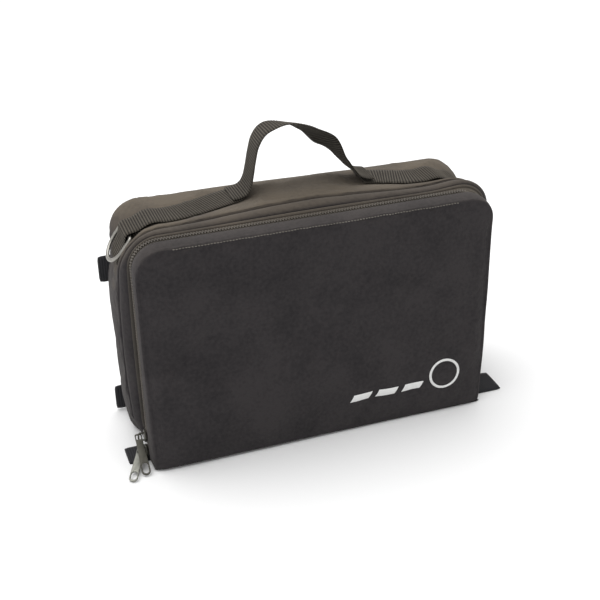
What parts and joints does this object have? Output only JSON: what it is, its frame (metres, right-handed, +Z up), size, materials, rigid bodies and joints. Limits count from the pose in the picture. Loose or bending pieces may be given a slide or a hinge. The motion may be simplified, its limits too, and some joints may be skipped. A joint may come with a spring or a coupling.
{
  "type": "flight bag",
  "caption": "Soft-sided padded flight bag with a zip-round lid that folds down in front, a webbing carry handle, shoulder-strap rings and webbing tabs.",
  "frame": {"origin": "centre of the main body's flat base, on the floor", "axes": "+X to the bag's right as seen from the front, +Y to the rear panel, +Z up"},
  "size_m": [0.4402, 0.1544, 0.331],
  "materials": {
    "shell_nylon": "coated plain-weave nylon, dark charcoal, matt with a faint sheen",
    "foam": "closed-cell foam sheet",
    "lining": "smooth lining cloth",
    "board": "stiff sheet covered in lining cloth",
    "binding_tape": "ribbed grosgrain and zipper tape",
    "zipper_coil": "nylon coil, slightly glossy",
    "webbing": "ribbed polypropylene webbing, grey-brown",
    "dark_webbing": "flat folded webbing, near black",
    "emblem_thread": "white satin-stitch thread",
    "slider_metal": "gunmetal plated zinc",
    "ring_metal": "nickel-plated steel wire"
  },
  "bodies": {
    "bag": {"main_gusset": "shell_nylon", "rear_panel": "shell_nylon", "zipper_gusset": "shell_nylon", "hinge_gusset": "shell_nylon", "gusset_foam": "foam", "rear_foam": "foam", "gusset_lining": "lining", "rear_lining": "lining", "base_board": "board", "seam_binding_front": "binding_tape", "seam_binding_rear": "binding_tape", "zipper_tape_rear": "binding_tape", "zipper_coil_rear": "zipper_coil", "strap_left": "webbing", "strap_right": "webbing", "rear_tab_upper_left": "dark_webbing", "rear_tab_lower_left": "dark_webbing", "rear_tab_upper_right": "dark_webbing", "rear_tab_lower_right": "dark_webbing", "zipper_tab_left": "dark_webbing", "zipper_tab_right": "dark_webbing"},
    "lid": {"lid_panel": "shell_nylon", "lid_foam": "foam", "lid_lining": "lining", "lid_binding": "binding_tape", "lid_pocket": "lining", "lid_pocket_hem": "binding_tape", "lid_emblem": "emblem_thread", "zipper_tape_front": "binding_tape", "zipper_coil_front": "zipper_coil"},
    "upper_slider": {"upper_slider": "slider_metal"},
    "upper_pull": {"upper_pull": "slider_metal"},
    "lower_slider": {"lower_slider": "slider_metal"},
    "lower_pull": {"lower_pull": "slider_metal"},
    "left_ring": {"left_d_ring": "ring_metal"},
    "right_ring": {"right_d_ring": "ring_metal"},
    "handle": {"handle": "webbing"}
  },
  "joints": [
    {"name": "lid_hinge", "type": "hinge", "parent": "bag", "child": "lid", "pos_m": [0, -0.07, 0.0006], "axis": [1, 0, 0], "range_deg": [0, 90]},
    {"name": "upper_slide", "type": "slide", "parent": "bag", "child": "upper_slider", "axis": [0, 0, 1], "range_m": [0, 0.185]},
    {"name": "lower_slide", "type": "slide", "parent": "bag", "child": "lower_slider", "axis": [0, 0, 1], "range_m": [0, 0.002]},
    {"name": "upper_pull_swing", "type": "hinge", "parent": "upper_slider", "child": "upper_pull", "pos_m": [-0.1988, -0.046, 0.0285], "axis": [1, 0, 0], "range_deg": [-70, 0]},
    {"name": "lower_pull_swing", "type": "hinge", "parent": "lower_slider", "child": "lower_pull", "pos_m": [-0.1988, -0.046, 0.0098], "axis": [0, 0, -1], "range_deg": [0, 117]},
    {"name": "left_ring_swing", "type": "hinge", "parent": "bag", "child": "left_ring", "pos_m": [-0.18101, 0.01, 0.24101], "axis": [0, 1, 0], "range_deg": [0, 165]},
    {"name": "right_ring_swing", "type": "hinge", "parent": "bag", "child": "right_ring", "pos_m": [0.18101, 0.01, 0.24101], "axis": [0, -1, 0], "range_deg": [0, 165]},
    {"name": "handle_tilt", "type": "hinge", "parent": "bag", "child": "handle", "pos_m": [0, 0.024, 0.2575], "axis": [1, 0, 0], "range_deg": [-60, 60], "stiffness_Nm_per_rad": 0.06}
  ]
}
